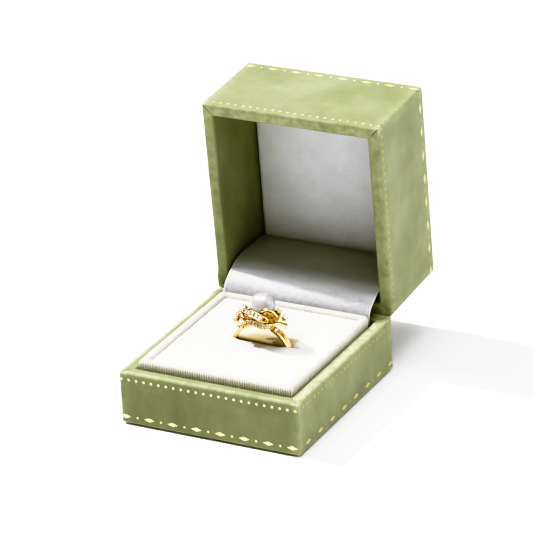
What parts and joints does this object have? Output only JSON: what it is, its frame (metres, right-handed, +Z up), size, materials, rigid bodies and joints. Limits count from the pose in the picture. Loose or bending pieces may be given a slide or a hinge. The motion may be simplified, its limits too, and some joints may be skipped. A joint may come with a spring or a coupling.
{
  "type": "ring box",
  "caption": "Hinged gift box for one ring, covered in suede-finish paper, with a slotted velvet insert, a satin-lined lid and a pearl ring.",
  "frame": {"origin": "centre of the underside of the base", "axes": "+Z up, -Y towards the front of the box, +X to the right seen from the front; the hinge runs along X at the back"},
  "size_m": [0.06, 0.0952, 0.0834],
  "materials": {
    "cover": "sage green suede-finish paper, matt and slightly mottled",
    "shell": "plain fibreboard",
    "sole": "dark felt-faced paper",
    "card": "uncoated card",
    "trim": "ribbed cream ribbon",
    "velvet": "short white velvet",
    "satin": "grey-white satin with a fine twill",
    "steel": "plain spring steel",
    "gold": "polished yellow gold",
    "pearl": "lustrous white pearl",
    "gem": "clear cut stone"
  },
  "bodies": {
    "base": {"base_sole": "sole", "base_cover": "cover", "base_shell": "shell", "insert_board": "card", "trim_front": "trim", "trim_right": "trim", "trim_back": "trim", "trim_left": "trim", "pad_front": "velvet", "pad_rear": "velvet", "hinge_leaf_base": "steel", "hinge_pin": "steel", "hinge_spring": "steel"},
    "lid": {"apron": "satin", "lid_cover": "cover", "lid_shell": "shell", "lid_pad_board": "card", "lid_pad": "satin", "hinge_leaf_lid": "steel"},
    "ring": {"ring_band": "gold", "ring_cup": "gold", "pearl": "pearl", "ring_ribbon_front": "gold", "ring_ribbon_upper": "gold", "ring_ribbon_rear": "gold", "ring_loop": "gold", "ring_leaf": "gold", "collet_1": "gold", "diamond_1": "gem", "collet_2": "gold", "diamond_2": "gem", "collet_3": "gold", "diamond_3": "gem", "collet_4": "gold", "diamond_4": "gem", "collet_5": "gold", "diamond_5": "gem"}
  },
  "joints": [
    {"name": "lid_hinge", "type": "hinge", "parent": "base", "child": "lid", "pos_m": [0, 0.0319, 0.01755], "axis": [1, 0, 0], "range_deg": [0, 86], "deforming": ["apron", "hinge_spring"]},
    {"name": "ring_lift", "type": "slide", "parent": "base", "child": "ring", "axis": [0, 0, 1], "range_m": [0, 0.005]}
  ]
}
